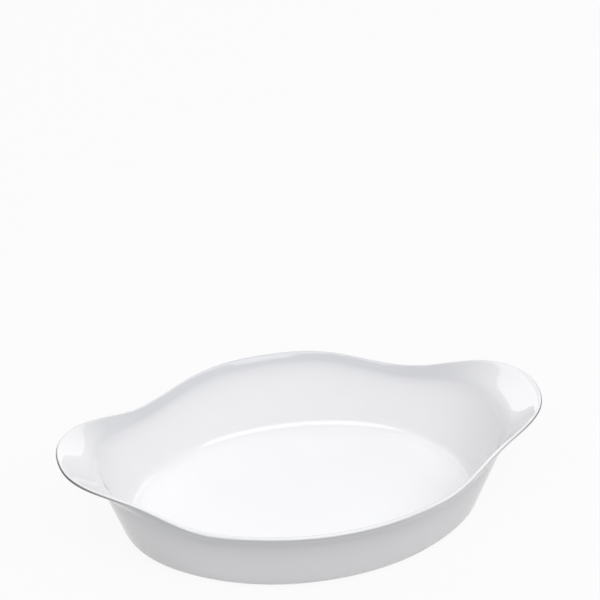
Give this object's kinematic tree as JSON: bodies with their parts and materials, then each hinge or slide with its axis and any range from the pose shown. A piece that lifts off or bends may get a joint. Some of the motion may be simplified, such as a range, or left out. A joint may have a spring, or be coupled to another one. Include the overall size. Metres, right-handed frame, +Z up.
{
  "type": "oval baking dish",
  "caption": "Deep oval oven dish of white opal glass, open at the top, with a wavy rim that sweeps out into an ear to lift it by at each end.",
  "frame": {"origin": "middle of the base, on the surface that the dish stands on", "axes": "+X along the dish from ear to ear, +Y across it, +Z up out of the open top"},
  "size_m": [0.32, 0.2, 0.0675],
  "materials": {
    "opal_glass": "smooth pressed glass, opaque white and glossy"
  },
  "bodies": {
    "root": {"dish": "opal_glass"}
  },
  "joints": []
}
